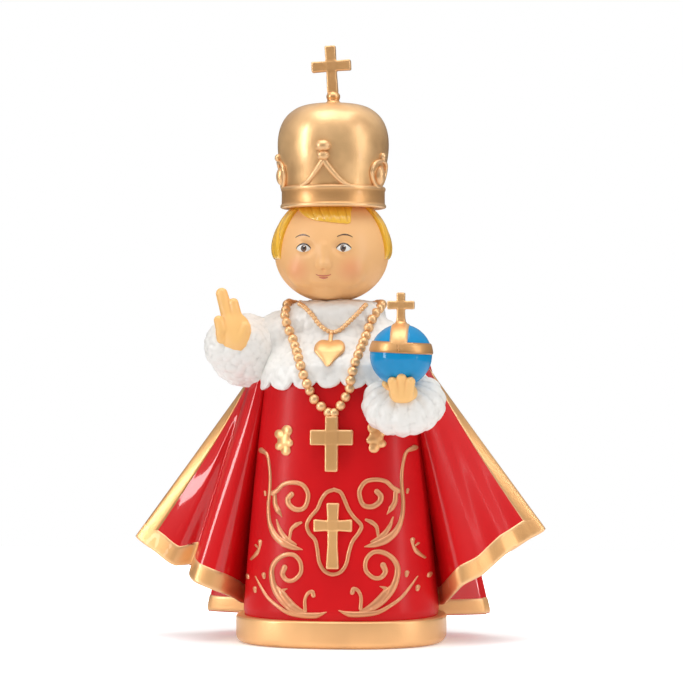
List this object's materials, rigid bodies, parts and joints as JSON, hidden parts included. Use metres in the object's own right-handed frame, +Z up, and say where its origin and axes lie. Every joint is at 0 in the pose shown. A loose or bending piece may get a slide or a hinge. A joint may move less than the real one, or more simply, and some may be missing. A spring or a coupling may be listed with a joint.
{
  "type": "religious figurine",
  "caption": "Painted cast-resin figurine of a crowned child in a bell robe and spread mantle, one hand raised, an orb in the other, on an oval base.",
  "frame": {"origin": "centre of the base's flat underside", "axes": "+Z up through the figure, -Y the way the figure faces, +X to the right as seen from the front"},
  "size_m": [0.103, 0.0533, 0.1485],
  "materials": {
    "red_paint": "varnished",
    "gold_paint": "satin metallic paint",
    "white_paint": "satin",
    "skin_paint": "satin",
    "hair_paint": "satin",
    "blue_paint": "varnished"
  },
  "bodies": {
    "root": {"figurine": "red_paint"}
  },
  "joints": []
}
